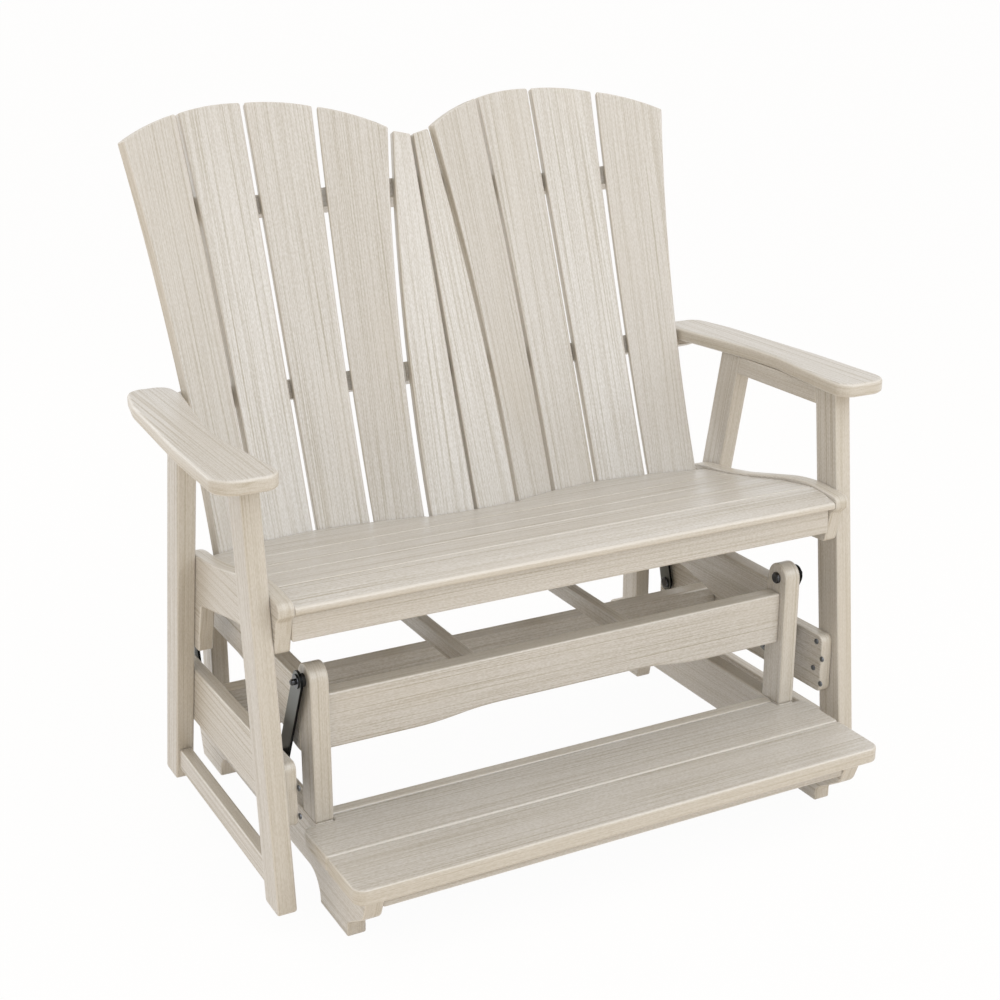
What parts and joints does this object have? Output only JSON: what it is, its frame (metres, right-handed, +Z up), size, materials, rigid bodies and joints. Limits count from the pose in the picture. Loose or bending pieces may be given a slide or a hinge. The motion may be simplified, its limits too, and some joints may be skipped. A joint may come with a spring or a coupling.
{
  "type": "double glider bench",
  "caption": "Porch glider bench for two: a slatted seat with a twin fan back and arms swings on steel links from a runner base with a footrest deck.",
  "frame": {"origin": "on the floor, at the middle of the overall width and depth", "axes": "+Z up, the sitter faces -Y, +X to the right of someone in front of the bench"},
  "size_m": [1.344, 1.0052, 1.302],
  "materials": {
    "board": "plastic lumber with embossed wood grain, satin",
    "link_steel": "satin steel bar",
    "bolt_black": "black coated",
    "spacer_black": "black nylon"
  },
  "bodies": {
    "base": {"base_front_apron": "board", "base_rear_apron": "board", "base_rib_left": "board", "base_rib_right": "board", "base_side_rail_left": "board", "base_side_rail_right": "board", "footrest_front_board": "board", "footrest_front_rail": "board", "footrest_rear_board": "board", "footrest_rear_rail": "board", "front_post_left": "board", "front_post_right": "board", "rear_post_left": "board", "rear_post_right": "board", "runner_left": "board", "runner_right": "board", "upper_pivot_bolts": "bolt_black", "upper_pivot_spacers": "spacer_black"},
    "front_left_link": {"front_link_left": "link_steel"},
    "front_right_link": {"front_link_right": "link_steel"},
    "rear_left_link": {"rear_link_left": "link_steel"},
    "rear_right_link": {"rear_link_right": "link_steel"},
    "seat": {"arm_left": "board", "arm_right": "board", "arm_support_left": "board", "arm_support_right": "board", "back_slat_centre_left": "board", "back_slat_centre_right": "board", "back_slat_fan_1_left": "board", "back_slat_fan_1_right": "board", "back_slat_fan_2_left": "board", "back_slat_fan_2_right": "board", "back_slat_fan_3_left": "board", "back_slat_fan_3_right": "board", "back_slat_fan_4_left": "board", "back_slat_fan_4_right": "board", "frame_screws": "bolt_black", "front_leg_left": "board", "front_leg_right": "board", "hanger_cross_rail": "board", "hanger_rail_left": "board", "hanger_rail_right": "board", "lower_back_crossbar": "board", "lower_pivot_bolts": "bolt_black", "lower_pivot_spacers": "spacer_black", "lower_stretcher_left": "board", "lower_stretcher_right": "board", "middle_back_crossbar": "board", "rear_leg_left": "board", "rear_leg_right": "board", "seat_centre_rib": "board", "seat_front_apron": "board", "seat_side_rail_left": "board", "seat_side_rail_right": "board", "seat_slat_1": "board", "seat_slat_2": "board", "seat_slat_3": "board", "seat_slat_4": "board", "seat_slat_5": "board", "upper_back_crossbar": "board"}
  },
  "joints": [
    {"name": "front_left_swing", "type": "hinge", "parent": "base", "child": "front_left_link", "pos_m": [-0.5255, -0.23663, 0.416], "axis": [1, 0, 0], "range_deg": [-12, 12]},
    {"name": "front_right_swing", "type": "hinge", "parent": "base", "child": "front_right_link", "pos_m": [0.5255, -0.23663, 0.416], "axis": [1, 0, 0], "range_deg": [-12, 12]},
    {"name": "rear_left_swing", "type": "hinge", "parent": "base", "child": "rear_left_link", "pos_m": [-0.5475, 0.29487, 0.416], "axis": [1, 0, 0], "range_deg": [-11, 11]},
    {"name": "rear_right_swing", "type": "hinge", "parent": "base", "child": "rear_right_link", "pos_m": [0.5475, 0.29487, 0.416], "axis": [1, 0, 0], "range_deg": [-11, 11]},
    {"name": "seat_rock", "type": "hinge", "parent": "front_left_link", "child": "seat", "pos_m": [-0.5255, -0.15163, 0.237], "axis": [1, 0, 0], "range_deg": [-16, 16]}
  ],
  "couplings": [
    {"joint": "front_right_swing", "follows": "front_left_swing", "ratio": 1},
    {"joint": "rear_left_swing", "follows": "front_left_swing", "ratio": 0.91261},
    {"joint": "rear_right_swing", "follows": "front_left_swing", "ratio": 0.91261},
    {"joint": "seat_rock", "follows": "front_left_swing", "ratio": -1.3288}
  ]
}
